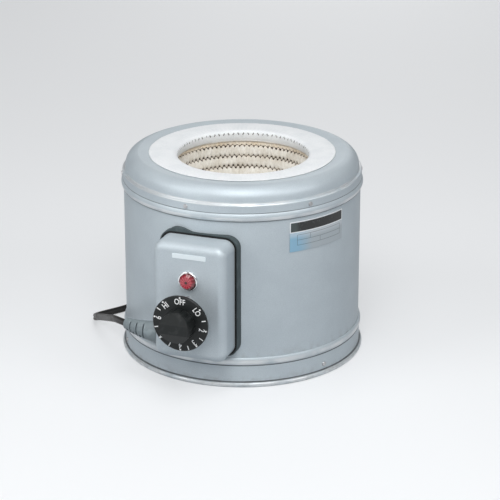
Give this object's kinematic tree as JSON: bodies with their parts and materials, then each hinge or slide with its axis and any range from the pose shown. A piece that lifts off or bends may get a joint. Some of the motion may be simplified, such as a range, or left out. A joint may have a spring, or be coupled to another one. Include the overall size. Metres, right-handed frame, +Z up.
{
  "type": "heating mantle",
  "caption": "Round metal-cased laboratory heating mantle with a knitted glass-yarn bowl, front control box with turning power dial and pilot lamp, and a flat mains cord.",
  "frame": {"origin": "on the barrel's axis, in the plane of the foot", "axes": "+Z up along the barrel's axis; the control box and its knob face -Y"},
  "size_m": [0.2661, 0.3768, 0.1889],
  "materials": {
    "silver_paint": "semi-gloss silver paint",
    "zinc_steel": "zinc-plated sheet",
    "shield_aluminium": "mill finish",
    "screw_steel": "plated",
    "white_cloth": "glass cloth",
    "knitted_glass": "knitted glass yarn, toasted at the mouth",
    "glass_wool": "glass wool",
    "resistance_wire": "sheathed wire",
    "ceramic": "unglazed",
    "sleeved_lead": "glass sleeving",
    "insulated_lead": "insulated wire",
    "dark_rubber": "matte",
    "switch_moulding": "moulded phenolic",
    "black_knob": "moulded, satin",
    "chrome": "plated",
    "red_lens": "clear red, faceted",
    "plate_foil": "printed foil",
    "white_strip": "blank label",
    "grey_relief": "moulded",
    "grey_cord": "flat twin cord",
    "tie_plastic": "strap",
    "plug_brass": "blades"
  },
  "bodies": {
    "casing": {"base_ring": "silver_paint", "barrel": "silver_paint", "top_cover": "silver_paint", "control_box": "silver_paint", "bottom_plate": "zinc_steel", "box_tabs": "zinc_steel", "shield_can": "shield_aluminium", "cover_screws": "screw_steel", "base_screws": "screw_steel", "box_screws": "screw_steel", "switch_screws": "screw_steel", "lamp_nut": "screw_steel", "cloth_collar": "white_cloth", "heating_bowl": "knitted_glass", "glass_wool_packing": "glass_wool", "heating_element": "resistance_wire", "lead_bushes": "ceramic", "terminal_block": "ceramic", "heater_leads": "sleeved_lead", "inner_leads": "insulated_lead", "box_gasket": "dark_rubber", "regulator_switch": "switch_moulding", "lamp_body": "switch_moulding", "lamp_bezel": "chrome", "lamp_lens": "red_lens", "nameplate": "plate_foil", "face_strip": "white_strip", "strain_relief": "grey_relief", "cord": "grey_cord", "cord_coil": "grey_cord", "cord_tail": "grey_cord", "plug_body": "grey_cord", "cord_tie": "tie_plastic", "plug_blades": "plug_brass"},
    "knob": {"dial_knob": "black_knob", "switch_shaft": "screw_steel"}
  },
  "joints": [
    {"name": "dial_turn", "type": "hinge", "parent": "casing", "child": "knob", "pos_m": [0, -0.158, 0.0775], "axis": [0, 1, 0], "continuous": true}
  ]
}
